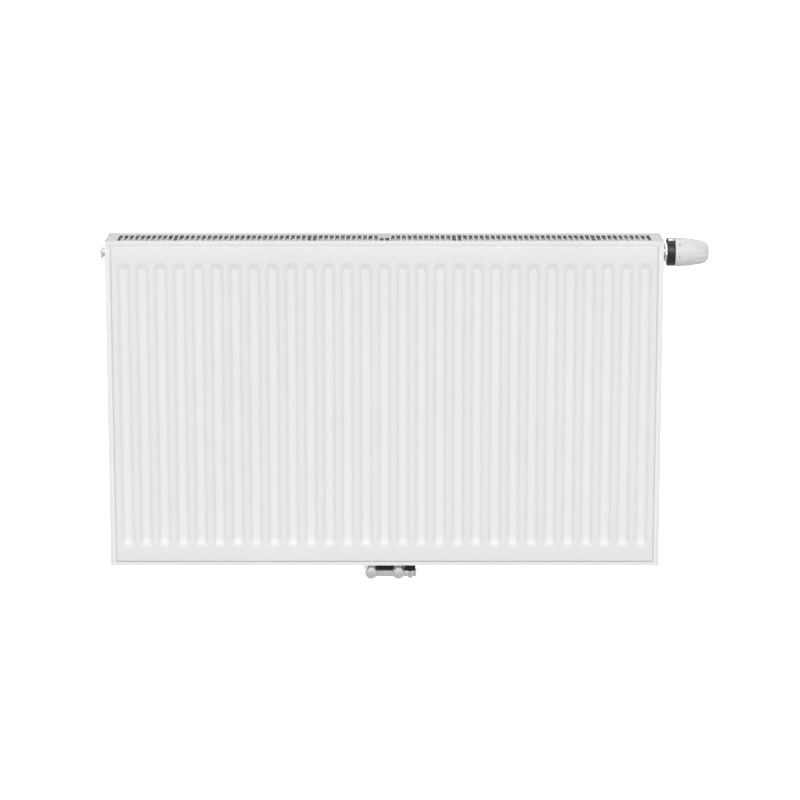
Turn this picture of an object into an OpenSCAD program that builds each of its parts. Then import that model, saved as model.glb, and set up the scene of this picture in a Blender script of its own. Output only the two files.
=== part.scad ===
// Steel panel radiator with two panels and two convectors, an integrated
// thermostatic valve at the top right and a two-pipe connection block below.
// The modules work in radiator coordinates: x from the centre, y from the
// middle of the depth with the front at -y, z from the panels' bottom edge.
// place() moves them so that the origin is midway between the pipe outlets.

/* [Radiator] */
// Length over the side covers
length = 1000; // [940:10:1060]
// Height of the radiator
height = 600; // [500:50:700]
// Depth over the raised faces of the two panels
depth = 102; // [100:1:104]
// Number of upright grooves in each panel
grooves = 29; // [27:2:31]

/* [Panels] */
// Thickness of one pressed sheet
sheet_t = 1.25; // [1.1:0.05:1.4]
// Depth of the pressing
press = 5.25; // [5:0.05:5.5]
// Width of the flat flange round the raised field
flange = 10; // [9:0.5:11]
// Half width of a groove's floor
groove_floor = 6; // [5:0.5:7]
// Run of a groove's side slope
groove_slope = 6; // [5:0.5:6.5]
// Run of the slope at a groove's ends
groove_end = 12; // [8:1:14]
// Distance from the panel's edge to a groove's end
header = 38.5; // [37:0.5:42]

/* [Convectors] */
// Thickness of the convector sheet
fin_t = 0.5; // [0.4:0.1:0.8]
// Width of one U-shaped fin
fin_w = 18; // [14:1:22]
// Depth of one convector
fin_h = 34; // [30:1:35]
// Distance from the panel's top and bottom edges to the convectors
fin_inset = 60; // [60:1:80]

/* [Covers] */
// Thickness of the side covers and the grille
cover_t = 1; // [0.8:0.1:1.2]
// Width of the side covers' lips
cover_lip = 5.5; // [5:0.5:6]
// Height of the grille's lips
grille_lip = 6.5; // [5:0.5:6.5]
// Spacing of the grille's slots
slot_pitch = 10; // [9:0.5:12]
// Width of a slot
slot_w = 7; // [5:0.5:7]
// Length of a slot
slot_len = 62; // [50:1:66]

/* [Fittings] */
// Height of the ports from the nearer edge
port_inset = 27; // [26:0.5:28]
// Distance from the radiator's end to the corner tees' axis
tee_inset = 26; // [25:0.5:27]
// Outer radius of the corner tees
tee_r = 12; // [11:0.5:12]
// Spacing of the pipe connections
pipe_spacing = 50; // [50:1:52]
// Depth of the pipe axis below the panels' bottom edge
pipe_drop = 23.6; // [23:0.1:25]
// Distance from mid depth to the ends of the pipe outlets
outlet_y = 38; // [34:1:44]

/* [Thermostat head] */
// Radius of the handwheel at its base
wheel_r = 26; // [25.5:0.5:27]
// Radius of the black base ring
base_r = 25; // [24:0.5:25]

/* [Hidden] */

// Radiator
half_l = length / 2;
half_d = depth / 2;
pitch = length / (grooves + 1);
panel_half = sheet_t + press;            // middle of a panel to its raised face
panel_y = half_d - panel_half;           // middle plane of the rear panel
inner_y = panel_y - panel_half;          // inner raised face of the rear panel
flange_y = panel_y + sheet_t;            // outer face of the rear panel's flange
edge_gap = 2;                            // flange edge to the radiator's end
seat_gap = 0.3;                          // between bodies that part
eps = 1;                                 // overshoot of a cutter
field_slope = 3;
top_z = height - port_inset;
tee_x = half_l - tee_inset;
tee_bore = 8;
port_r = 10.5;
port_end = half_l - 1.8;                 // outer end of the side ports

// Riser and flow pipe
riser_x = tee_x - 24;
pipe_r = 7.5;
pipe_wall = 1.2;
pipe_z = 32;
bend_r = 25;

// Valve, distances along x from the tee's axis
seat_x = tee_x - 12;
valve_r = 16;
insert_r = 11.97;
thread_r = 15;
thread_end = half_l + 11;
pin_r = 1.5;
pin_end = thread_end + 6.5;
travel = 1.1;

// Thermostat head
base_x0 = half_l + 8.5;
base_x1 = half_l + 22.5;
wheel_x0 = base_x1 + 0.4;
barrel_r = 13.5;

// Connection block
half_pipe = pipe_spacing / 2;
neck_r = 10.5;
block_r = 11;
plug_r = 9;
stub_r = 13.2;
bar_z0 = -32;
bar_z1 = -21;
drain_x = half_pipe + 21.5;

// ---------------------------------------------------------------- helpers

// Moves a sub-part from radiator coordinates to the frame
module place() { translate([0, -outlet_y, pipe_drop]) children(); }

// Cylinder along x, y or z between two places
module rod_x(r, x0, x1) { translate([x0, 0, 0]) rotate([0, 90, 0]) cylinder(r = r, h = x1 - x0, $fn = 64); }
module rod_y(r, y0, y1) { translate([0, y1, 0]) rotate([90, 0, 0]) cylinder(r = r, h = y1 - y0, $fn = 64); }
module rod_z(r, z0, z1) { translate([0, 0, z0]) cylinder(r = r, h = z1 - z0, $fn = 64); }

// Box between two corners
module span(a, b) { translate(a) cube(b - a); }

// Ring with a round section about the x axis
module ring_x(x, mid_r, wire_r) {
    translate([x, 0, 0]) rotate([0, 90, 0]) rotate_extrude($fn = 64)
        translate([mid_r, 0]) circle(r = wire_r, $fn = 24);
}

// Turned part about the x axis, from [x, r] points
module turned_x(points) {
    rotate([0, 90, 0]) rotate_extrude($fn = 96) polygon([for (p = points) [p[1], p[0]]]);
}

// Block with four sloped sides: half sizes a and b at depth y0 and at depth y1
module hip(a0, b0, y0, a1, b1, y1) {
    intersection() {
        linear_extrude(height = 2 * max(b0, b1) + 2, center = true)
            polygon([[-a0, y0], [a0, y0], [a1, y1], [-a1, y1]]);
        rotate([0, 90, 0]) linear_extrude(height = 2 * max(a0, a1) + 2, center = true)
            polygon([[-b0, y0], [b0, y0], [b1, y1], [-b1, y1]]);
    }
}

// Coil spring about the x axis, as one swept tube
module spring_x(x0, x1, mid_r, wire_r, turns) {
    sides = 8;
    steps = 14 * turns;
    function ring(i) = let (a = 360 * turns * i / steps, x = x0 + wire_r
            + (x1 - x0 - 2 * wire_r) * i / steps)
        [for (s = [0:sides - 1]) let (t = 360 * s / sides, r = mid_r + wire_r * cos(t))
            [x + wire_r * sin(t), r * cos(a), r * sin(a)]];
    points = [for (i = [0:steps]) each ring(i)];
    walls = [for (i = [0:steps - 1], s = [0:sides - 1]) let (n = (s + 1) % sides)
        [i * sides + s, i * sides + n, (i + 1) * sides + n, (i + 1) * sides + s]];
    ends = [[for (s = [sides - 1:-1:0]) s], [for (s = [0:sides - 1]) steps * sides + s]];
    polyhedron(points, concat(walls, ends));
}

// ---------------------------------------------------------------- panels

// Normal wall thickness measured level, on a slope with this run
function wall_shift(run) = sheet_t * norm([run, press]) / press;

// Half size of a sloped shape at depth h, from its half size at the flange's face
function at_depth(h, base, run) = base + run * (h - sheet_t) / press;

// Grooves, with their floor at h0, cut to depth h1 and widened by a wall
module groove_set(h0, h1, walls) {
    side = groove_floor + walls * wall_shift(groove_slope);
    end = height / 2 - header - groove_end + walls * wall_shift(groove_end);
    for (k = [-(grooves - 1) / 2:(grooves - 1) / 2]) translate([k * pitch, 0, height / 2])
        hip(at_depth(h0, side, groove_slope), at_depth(h0, end, groove_end), -h0,
            at_depth(h1, side, groove_slope), at_depth(h1, end, groove_end), -h1);
}

// Raised field, from depth h0 to depth h1, drawn in by a wall
module field(h0, h1, walls) {
    side = half_l - edge_gap - flange + field_slope - walls * wall_shift(field_slope);
    end = height / 2 - flange + field_slope - walls * wall_shift(field_slope);
    translate([0, 0, height / 2])
        hip(at_depth(h0, side, -field_slope), at_depth(h0, end, -field_slope), -h0,
            at_depth(h1, side, -field_slope), at_depth(h1, end, -field_slope), -h1);
}

// One pressed sheet, its back on y = 0 and its raised face towards -y
module pressed_sheet() {
    difference() {
        union() {
            span([-half_l + edge_gap, -sheet_t, 0],
                [half_l - edge_gap, 0, height - cover_t - seat_gap]);
            difference() {
                field(0, panel_half, 0);
                groove_set(sheet_t, panel_half + eps, 0);
            }
        }
        difference() {
            field(-eps, press, 1);
            groove_set(-2 * eps, panel_half, 1);
        }
    }
}

// Holes through an inner sheet for the tees and the return manifold
module water_ports() {
    for (x = [-tee_x, tee_x], z = [port_inset, top_z]) translate([x, 0, z])
        rod_y(tee_bore, -panel_half - eps, eps);
    translate([-half_pipe, 0, port_inset]) rod_y(tee_bore, -panel_half - eps, eps);
}

module inner_sheet() {
    difference() {
        pressed_sheet();
        water_ports();
    }
}

module front_outer_sheet() { color("white") translate([0, -panel_y, 0]) pressed_sheet(); }
module front_inner_sheet() {
    color("gainsboro") translate([0, -panel_y, 0]) mirror([0, 1, 0]) inner_sheet();
}
module rear_inner_sheet() { color("gainsboro") translate([0, panel_y, 0]) inner_sheet(); }
module rear_outer_sheet() {
    color("white") translate([0, panel_y, 0]) mirror([0, 1, 0]) pressed_sheet();
}

// ---------------------------------------------------------------- convectors

// U-shaped fin: its base on y = 0, its two legs reaching to y = fin_h
module fin() {
    linear_extrude(height = height - 2 * fin_inset) difference() {
        translate([-fin_w / 2, 0]) square([fin_w, fin_h]);
        translate([-fin_w / 2 + fin_t, fin_t]) square([fin_w - 2 * fin_t, fin_h]);
    }
}

// One fin on each ridge of a panel, save the last, where the riser stands
module convector() {
    for (k = [-(grooves - 2) / 2:(grooves - 4) / 2]) translate([k * pitch, 0, fin_inset]) fin();
}

module front_convector() { color("silver") translate([0, -inner_y, 0]) convector(); }
module rear_convector() {
    color("silver") translate([0, inner_y, 0]) mirror([0, 1, 0]) convector();
}

// ---------------------------------------------------------------- covers

// Side cover at the +x end, with a hole for the valve or the vent
module side_cover(hole_r) {
    lip_y = flange_y + cover_t;
    difference() {
        union() {
            span([half_l - cover_t, -lip_y, 0], [half_l, lip_y, height]);
            for (s = [-1, 1]) span(
                [half_l - cover_lip, s > 0 ? flange_y : -lip_y, 0],
                [half_l, s > 0 ? lip_y : -flange_y, height - cover_t - seat_gap]);
        }
        translate([0, 0, top_z]) rod_x(hole_r, half_l - 2 * cover_t, half_l + eps);
    }
}

module side_cover_left() { color("white") mirror([1, 0, 0]) side_cover(port_r + 0.5); }
module side_cover_right() { color("white") side_cover(valve_r + 1.5); }

module top_grille() {
    plate_x = half_l - cover_t - seat_gap;
    lip_x = half_l - cover_lip - seat_gap;
    lip_y = flange_y + seat_gap;
    count = floor((length - 40) / slot_pitch);
    slot_y0 = -lip_y + 9;
    color("white") difference() {
        union() {
            span([-plate_x, -lip_y - cover_t, height - cover_t], [plate_x, lip_y + cover_t, height]);
            for (y = [-lip_y - cover_t, lip_y])
                span([-lip_x, y, height - grille_lip], [lip_x, y + cover_t, height]);
        }
        for (i = [0:count - 1]) translate([(i - (count - 1) / 2) * slot_pitch, 0, 0])
            span([-slot_w / 2, slot_y0, height - 2 * cover_t],
                [slot_w / 2, slot_y0 + slot_len, height + eps]);
    }
}

// Blank clip-on badge: a plate on the grille with two prongs through its slots
module grille_badge() {
    half_w = 13;
    color("whitesmoke") {
        span([-half_w, -6, height], [half_w, 28, height + 1.4]);
        for (x = [-slot_pitch / 2, slot_pitch / 2])
            span([x - 2.5, 2, height - 4], [x + 2.5, 18, height]);
    }
}

// Spring clips that hold the grille against the panels' inner faces
module grille_clips() {
    clip_w = 16;
    clip_y = inner_y - 0.4;
    color("silver") for (x = [-0.38, -0.13, 0.13, 0.38] * length, s = [-1, 1])
        span([x - clip_w / 2, s > 0 ? clip_y - cover_t : -clip_y, height - 16],
            [x + clip_w / 2, s > 0 ? clip_y : -clip_y + cover_t, height - cover_t]);
}

// Hanging lug: a bridge on two feet, open upwards and downwards for a hook
module lug() {
    reach = 12;
    half_w = pitch / 2 - 4;
    plate = 2;
    tall = 26;
    difference() {
        span([-half_w, 0, 0], [half_w, reach, tall]);
        span([-half_w + plate, -eps, -eps], [half_w - plate, reach - plate, tall + eps]);
    }
    for (s = [-1, 1])
        span([s > 0 ? half_w - plate : -half_w - 8, 0, 0],
            [s > 0 ? half_w + 8 : -half_w + plate, plate, tall]);
}

module hanging_lugs() {
    color("white") for (x = [-10, 10] * pitch, z = [70, height - 120])
        translate([x, half_d, z]) lug();
}

// ---------------------------------------------------------------- water side

// Corner tee at the +x end: a tube between the panels and a threaded side port
module tee(z) {
    translate([0, 0, z]) difference() {
        union() {
            translate([tee_x, 0, 0]) rod_y(tee_r, -inner_y, inner_y);
            rod_x(tee_r + 1, tee_x, port_end);
        }
        translate([tee_x, 0, 0]) rod_y(tee_bore, -inner_y - eps, inner_y + eps);
        rod_x(port_r, tee_x + 9, port_end + eps);
        rod_x(tee_bore - 1, tee_x, tee_x + 10);
    }
}

module tee_top_left() { color("lightgray") mirror([1, 0, 0]) tee(top_z); }
module tee_bottom_left() { color("lightgray") mirror([1, 0, 0]) tee(port_inset); }
module tee_bottom_right() { color("lightgray") tee(port_inset); }

module blind_plug() {
    translate([0, 0, port_inset]) difference() {
        rod_x(port_r - 0.04, port_end - 12, port_end + 0.4);
        translate([port_end - 6, 0, 0]) rotate([0, 90, 0]) cylinder(r = 6, h = 10, $fn = 6);
    }
}

module blind_plugs() {
    color("gainsboro") {
        blind_plug();
        mirror([1, 0, 0]) blind_plug();
    }
}

module return_manifold() {
    color("lightgray") translate([-half_pipe, 0, 0]) difference() {
        union() {
            translate([0, 0, port_inset]) rod_y(tee_r, -inner_y, inner_y);
            rod_z(stub_r, 3, port_inset);
        }
        translate([0, 0, port_inset]) rod_y(tee_bore, -inner_y - eps, inner_y + eps);
        rod_z(pipe_r, 3 - eps, port_inset);
    }
}

module flow_stub() {
    color("lightgray") translate([half_pipe, 0, 0]) difference() {
        union() {
            rod_z(stub_r, 3, port_inset);
            rod_z(tee_r, port_inset, pipe_z + 10);
            translate([0, 0, port_inset - 4]) rod_y(tee_r - 3, -inner_y, inner_y);
        }
        rod_z(pipe_r - pipe_wall, 3 - eps, pipe_z + 6);
        translate([0, 0, pipe_z]) rod_x(pipe_r + 0.02, 8, tee_r + eps);
        translate([0, 0, pipe_z]) rod_x(pipe_r - pipe_wall, 0, 10);
    }
}

// Pipe from the flow stub along the bottom and up to the valve body
module flow_pipe() {
    inner = pipe_r - pipe_wall;
    x0 = half_pipe + 8;
    x1 = riser_x - bend_r;
    z1 = pipe_z + bend_r;
    color("gainsboro") {
        translate([0, 0, pipe_z]) difference() {
            rod_x(pipe_r, x0, x1);
            rod_x(inner, x0 - eps, x1 + eps);
        }
        translate([x1, 0, z1]) rotate([90, 0, 0]) rotate([0, 0, -90])
            rotate_extrude(angle = 90, $fn = 64) translate([bend_r, 0]) difference() {
                circle(r = pipe_r, $fn = 48);
                circle(r = inner, $fn = 48);
            }
        translate([riser_x, 0, 0]) difference() {
            rod_z(pipe_r, z1, top_z - 18);
            rod_z(inner, z1 - eps, top_z - 18 + eps);
        }
    }
}

// ---------------------------------------------------------------- valve

module valve_body() {
    color("lightgray") translate([0, 0, top_z]) difference() {
        union() {
            rod_x(valve_r, riser_x - 14, port_end);
            translate([tee_x, 0, 0]) rod_y(tee_r + 1, -inner_y, inner_y);
            translate([riser_x, 0, 0]) rod_z(pipe_r + 3.5, -28, 0);
        }
        rod_x(10, riser_x - 10, seat_x - 3);
        rod_x(6.5, seat_x - 4, seat_x + eps);
        rod_x(insert_r + 0.03, seat_x, port_end + eps);
        translate([tee_x, 0, 0]) rod_y(tee_bore, -inner_y - eps, inner_y + eps);
        translate([riser_x, 0, 0]) rod_z(pipe_r + 0.02, -28 - eps, -18);
        translate([riser_x, 0, 0]) rod_z(pipe_r - pipe_wall, -19, 0);
    }
}

module valve_insert() {
    guide_x = tee_x + 10;
    color("khaki") translate([0, 0, top_z]) turned_x([
        [guide_x, pin_r + 0.1], [guide_x, insert_r], [port_end, insert_r],
        [port_end, thread_r], [thread_end, thread_r], [thread_end, 6.05],
        [thread_end - 3, 6.05], [thread_end - 3, 3], [thread_end - 6, 3],
        [thread_end - 6, 7.5], [guide_x + 2, 7.5], [guide_x + 2, pin_r + 0.1]]);
}

module insert_gland() {
    color("gold") translate([0, 0, top_z]) turned_x([
        [thread_end - 3, 3.65], [thread_end - 3, 6], [pin_end - 1.5, 6], [pin_end - 1.5, pin_r + 0.05],
        [thread_end - 0.6, pin_r + 0.05], [thread_end - 0.6, 3.65]]);
}

module pin_seal() { color("dimgray") translate([0, 0, top_z]) ring_x(thread_end - 1.7, 2.6, 1); }

module presetting_ring() {
    color("white") translate([0, 0, top_z]) difference() {
        rod_x(11, thread_end + 0.2, thread_end + 3.8);
        rod_x(6.06, thread_end - eps, thread_end + 5);
        for (a = [0:45:315]) rotate([a, 0, 0]) span([thread_end + 2.4, -0.8, 8],
            [thread_end + 5, 0.8, 12]);
    }
}

module valve_pin() {
    color("silver") translate([0, 0, top_z]) turned_x([
        [seat_x + travel + 3.1, 0], [seat_x + travel + 3.1, 7], [seat_x + travel + 5, 7],
        [seat_x + travel + 5, pin_r], [thread_end - 10, pin_r], [thread_end - 10, 5.5],
        [thread_end - 8.5, 5.5], [thread_end - 8.5, pin_r], [pin_end, pin_r], [pin_end, 0]]);
}

module valve_cone() {
    color("dimgray") translate([0, 0, top_z])
        rod_x(8, seat_x + travel + 0.1, seat_x + travel + 3.1);
}

module valve_spring() {
    color("silver") translate([0, 0, top_z])
        spring_x(tee_x + 12 + travel + 0.2, thread_end - 10, 4.4, 0.45, 5);
}

// ---------------------------------------------------------------- thermostat head

module head_union_nut() {
    x0 = half_l + 3.5;
    color("dimgray") translate([0, 0, top_z]) turned_x([
        [x0, thread_r + 0.05], [x0, 16.75], [thread_end + 3.2, 16.75], [thread_end + 3.2, 13.15],
        [thread_end + 1.6, 13.15], [thread_end + 1.6, thread_r + 0.05]]);
}

module head_base() {
    color("black") translate([0, 0, top_z]) turned_x([
        [thread_end, 11.5], [thread_end, 14.9], [thread_end + 1.5, 14.9],
        [thread_end + 1.5, 13.05], [base_x0 + 6.5, 13.05], [base_x0 + 6.5, 17.3],
        [base_x0, 17.3], [base_x0, base_r - 1], [base_x0 + 1, base_r], [base_x1, base_r],
        [base_x1, 20], [base_x1 - 5, 20], [base_x1 - 5, barrel_r],
        [base_x1 + 38, barrel_r], [base_x1 + 38, 11.5]]);
}

// Outer outline of the handwheel, as [distance from its base, radius] points
wheel_line = [[0, wheel_r - 0.6], [0.8, wheel_r], [8, wheel_r], [28, wheel_r - 1.5],
    [48, wheel_r - 5], [55, wheel_r - 8], [59, wheel_r - 12], [60.3, wheel_r - 13.4]];

module handwheel() {
    wall = 2.4;
    grips = 12;
    inner = [[60.3, 12.55], [56, 12.55], [55, 13], [48, wheel_r - 5 - wall], [30, wheel_r - 1.5 - wall],
        [30, barrel_r + 0.4], [25, barrel_r + 0.4], [25, wheel_r - 1.4 - wall], [0, wheel_r - wall]];
    color("white") translate([0, 0, top_z]) difference() {
        turned_x([for (p = concat(wheel_line, inner)) [wheel_x0 + p[0], p[1]]]);
        for (i = [0:grips - 1]) rotate([(i + 0.5) * 360 / grips, 0, 0])
            translate([wheel_x0 + 34, 0, wheel_r + 0.8]) rotate([0, 8, 0])
                rod_x(3.2, 0, 30);
        for (a = [60, -60]) rotate([a, 0, 0]) translate([0, 0, 18.5])
            rod_x(1.25, wheel_x0 + 24, wheel_x0 + 31);
    }
}

module wheel_cap() {
    x = wheel_x0 + 57;
    color("white") translate([0, 0, top_z]) turned_x([
        [x, 0], [x, 12.5], [x + 3.3, 12.5], [x + 4.2, 9], [x + 4.5, 5], [x + 4.5, 0]]);
}

module limiter_pins() {
    color("red") translate([0, 0, top_z]) for (a = [60, -60]) rotate([a, 0, 0])
        translate([0, 0, 18.5]) rod_x(1.2, wheel_x0 + 5, wheel_x0 + 32);
}

module push_rod() {
    color("whitesmoke") translate([0, 0, top_z]) turned_x([
        [pin_end, 0], [pin_end, 4], [pin_end + 8, 4], [pin_end + 8, 9], [pin_end + 12, 9],
        [pin_end + 12, 0]]);
}

module sensor_capsule() {
    x = pin_end + 12;
    color("goldenrod") translate([0, 0, top_z]) turned_x([
        [x, 0], [x, 9], [x + 2, 10.9], [x + 24, 10.9], [x + 26, 8], [x + 26, 0]]);
}

module overtravel_spring() {
    color("silver") translate([0, 0, top_z]) spring_x(pin_end + 38, pin_end + 50, 6.4, 0.6, 4);
}

module adjusting_nut() {
    color("gold") translate([0, 0, top_z]) turned_x([
        [pin_end + 50, 0], [pin_end + 50, 17], [pin_end + 53, 17], [pin_end + 53, 0]]);
}

// ---------------------------------------------------------------- vent

// The vent stands at the -x end: built towards +x and mirrored
module at_vent() { mirror([1, 0, 0]) translate([0, 0, top_z]) children(); }

module vent_plug() {
    nose = half_l + 7;
    color("silver") at_vent() difference() {
        turned_x([[port_end - 14, 0], [port_end - 14, port_r - 0.04], [port_end, port_r - 0.04],
            [port_end, 7.4], [port_end + 1, 7.4], [port_end + 1, 9], [nose - 0.6, 9],
            [nose, 8.4], [nose, 5], [nose + 4.5, 5], [nose + 4.5, 0]]);
        rod_x(2.95, half_l - 6, nose + 5);
        rod_x(1.2, port_end - 15, half_l - 5);
        translate([nose + 2.3, 0, 0]) rod_z(1, -6, 0);
    }
}

module vent_gasket() {
    color("dimgray") at_vent() difference() {
        rod_x(10, port_end, port_end + 1);
        rod_x(7.42, port_end - eps, port_end + 2);
    }
}

module vent_nozzle() {
    x0 = half_l + 7.3;
    color("white") at_vent() difference() {
        union() {
            rod_x(8.8, x0, x0 + 4);
            translate([x0 + 2, 0, 0]) rod_z(1.7, -11.5, -6);
        }
        rod_x(5.06, x0 - eps, x0 + 5);
        translate([x0 + 2, 0, 0]) rod_z(0.8, -12.5, 0);
    }
}

module vent_screw() {
    color("khaki") at_vent() {
        rod_x(2.9, half_l - 5.8, half_l + 9);
        translate([half_l + 9, 0, 0]) rotate([0, 90, 0]) rotate([0, 0, 45])
            cylinder(r = 2.8, h = 4, $fn = 4);
    }
}

// ---------------------------------------------------------------- connection block

module connector_body() {
    color("silver") difference() {
        union() {
            for (x = [-half_pipe, half_pipe]) translate([x, 0, 0]) {
                rod_z(neck_r, -pipe_drop, -1.5);
                rod_z(neck_r + 1.4, -1.5, 1.5);
                translate([0, 0, -pipe_drop]) {
                    rod_y(block_r, -14, outlet_y - 12);
                    rod_y(stub_r, outlet_y - 14, outlet_y);
                }
            }
            span([-half_pipe, -7, bar_z0], [drain_x + 4, 7, bar_z1]);
            translate([drain_x + 4, 0, 0]) rod_z(8.5, bar_z0, bar_z1);
        }
        for (x = [-half_pipe, half_pipe]) translate([x, 0, 0]) {
            rod_z(6.5, -pipe_drop, 1.5 + eps);
            translate([0, 0, -pipe_drop]) {
                rod_y(plug_r, -14 - eps, 9.2);
                rod_y(pipe_r, 9, outlet_y + eps);
            }
        }
        translate([drain_x, 0, 0]) {
            rod_z(5, bar_z0 + 4, bar_z1 + eps);
            rod_z(2.5, bar_z0 - eps, bar_z0 + 5);
        }
    }
}

module union_nuts() {
    color("silver") for (x = [-half_pipe, half_pipe]) translate([x, 0, 0]) difference() {
        translate([0, 0, -4.3]) rotate([0, 0, 30]) cylinder(r = 17.3, h = 17.3, $fn = 6);
        rod_z(neck_r + 0.2, -4.3 - eps, 0);
        rod_z(stub_r + 0.04, -1.6, 15);
    }
}

module union_seals() {
    color("dimgray") for (x = [-half_pipe, half_pipe]) translate([x, 0, 0]) difference() {
        rod_z(11.6, 1.5, 3);
        rod_z(8.2, 1, 4);
    }
}

// Quarter-turn plug: open upwards and towards the pipe
module shutoff_plug() {
    translate([0, 0, -pipe_drop]) difference() {
        union() {
            rod_y(plug_r - 0.05, -7.8, 9);
            rod_y(4, -13.6, -7.8);
        }
        rod_y(6.5, -4, 10);
        rod_z(6, 0, 12);
        translate([0, -10.6, 0]) rotate([90, 0, 0]) cylinder(r = 2.9, h = 6, $fn = 6);
    }
}

module left_shutoff_plug() { color("khaki") translate([-half_pipe, 0, 0]) shutoff_plug(); }
module right_shutoff_plug() { color("khaki") translate([half_pipe, 0, 0]) shutoff_plug(); }

module shutoff_glands() {
    color("gainsboro") for (x = [-half_pipe, half_pipe]) translate([x, 0, -pipe_drop]) difference() {
        rod_y(plug_r - 0.02, -14.4, -8);
        rod_y(4.06, -15, -7);
        rod_y(6.1, -10.2, -7);
    }
}

module shutoff_seals() {
    color("dimgray") for (x = [-half_pipe, half_pipe]) translate([x, -9.1, -pipe_drop])
        rotate([90, 0, 0]) rotate_extrude($fn = 64) translate([5.08, 0]) circle(r = 0.95, $fn = 24);
}

// Cap on each gland, with a short spigot in its bore
module shutoff_caps() {
    color("silver") for (x = [-half_pipe, half_pipe]) translate([x, 0, -pipe_drop]) {
        rod_y(10.2, -17.4, -14.4);
        rod_y(4, -14.4, -13.8);
    }
}

module drain_knob() {
    color("black") translate([drain_x, 0, 0]) difference() {
        rod_z(10.3, bar_z1 + seat_gap, -6);
        rod_z(3.02, bar_z1 - eps, -8);
        for (a = [0:30:330]) rotate([0, 0, a]) translate([11.3, 0, 0]) rod_z(1.8, bar_z1 + 3, -5);
    }
}

module drain_spindle() {
    color("khaki") translate([drain_x, 0, 0]) {
        rod_z(4.95, bar_z0 + 4.4, bar_z1 - 2);
        rod_z(3, bar_z1 - 2, -8);
    }
}

module drain_screw() {
    color("silver") translate([drain_x, 0, 0]) difference() {
        union() {
            rod_z(2.46, bar_z0, bar_z0 + 3.8);
            rod_z(4, bar_z0 - 4, bar_z0);
        }
        translate([0, 0, bar_z0 - 5]) cylinder(r = 2, h = 3.5, $fn = 6);
    }
}

// Saddle between the two necks
module spacing_clip() {
    color("black") difference() {
        span([-half_pipe + 6, -2.5, bar_z1], [half_pipe - 6, 6, -7]);
        for (x = [-half_pipe, half_pipe]) translate([x, 0, 0]) {
            rod_z(neck_r + 0.02, bar_z1 - eps, 0);
            translate([0, 0, -pipe_drop]) rod_y(block_r + 0.02, -7, 7);
        }
        translate([0, 0, 8]) rod_y(20, -7, 7);
    }
}

// ---------------------------------------------------------------- nodes

place() front_outer_sheet();
place() front_inner_sheet();
place() rear_inner_sheet();
place() rear_outer_sheet();
place() front_convector();
place() rear_convector();
place() side_cover_left();
place() side_cover_right();
place() top_grille();
place() grille_badge();
place() grille_clips();
place() hanging_lugs();
place() tee_top_left();
place() tee_bottom_left();
place() tee_bottom_right();
place() blind_plugs();
place() valve_body();
place() valve_insert();
place() presetting_ring();
place() insert_gland();
place() pin_seal();
place() valve_pin();
place() valve_cone();
place() valve_spring();
place() head_union_nut();
place() head_base();
place() handwheel();
place() wheel_cap();
place() limiter_pins();
place() sensor_capsule();
place() push_rod();
place() overtravel_spring();
place() adjusting_nut();
place() vent_plug();
place() vent_gasket();
place() vent_nozzle();
place() vent_screw();
place() return_manifold();
place() flow_stub();
place() flow_pipe();
place() connector_body();
place() union_nuts();
place() union_seals();
place() left_shutoff_plug();
place() right_shutoff_plug();
place() shutoff_glands();
place() shutoff_seals();
place() shutoff_caps();
place() drain_knob();
place() drain_spindle();
place() drain_screw();
place() spacing_clip();
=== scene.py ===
"""Looks of a white steel panel radiator with a thermostatic valve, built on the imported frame.

Lengths are in metres and every piece is made in place, in the frame's own axes:
+x to the thermostat head, +y to the wall and +z up.
"""

import logging
import math
from dataclasses import dataclass, field
from enum import Enum
from typing import Callable, Iterable, Sequence

import bmesh
import bpy
from mathutils import Matrix, Vector


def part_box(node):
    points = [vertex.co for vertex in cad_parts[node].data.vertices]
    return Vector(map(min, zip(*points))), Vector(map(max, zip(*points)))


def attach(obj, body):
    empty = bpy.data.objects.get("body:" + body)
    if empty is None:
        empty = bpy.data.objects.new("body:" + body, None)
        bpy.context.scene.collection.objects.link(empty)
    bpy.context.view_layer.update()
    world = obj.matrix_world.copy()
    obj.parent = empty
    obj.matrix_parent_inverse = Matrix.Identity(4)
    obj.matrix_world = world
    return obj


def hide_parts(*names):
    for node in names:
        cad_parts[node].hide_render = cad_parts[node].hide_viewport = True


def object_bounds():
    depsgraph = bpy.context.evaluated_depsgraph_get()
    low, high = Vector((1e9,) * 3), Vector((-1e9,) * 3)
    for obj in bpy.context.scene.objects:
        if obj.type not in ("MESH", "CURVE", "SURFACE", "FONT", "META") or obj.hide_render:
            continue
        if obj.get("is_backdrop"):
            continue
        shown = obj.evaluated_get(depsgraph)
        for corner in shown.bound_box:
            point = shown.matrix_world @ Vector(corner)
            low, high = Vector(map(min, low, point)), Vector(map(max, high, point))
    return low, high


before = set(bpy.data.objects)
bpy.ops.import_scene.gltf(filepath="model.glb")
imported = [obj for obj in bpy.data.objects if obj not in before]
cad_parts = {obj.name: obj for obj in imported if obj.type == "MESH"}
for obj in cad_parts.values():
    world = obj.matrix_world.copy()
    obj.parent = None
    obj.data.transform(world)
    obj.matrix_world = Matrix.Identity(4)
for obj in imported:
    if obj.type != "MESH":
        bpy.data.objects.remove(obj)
LOG = logging.getLogger("radiator")
MM = 0.001
Colour = tuple[float, float, float]
Line = Sequence[tuple[float, float]]


# ---------------------------------------------------------------- shaders


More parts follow.
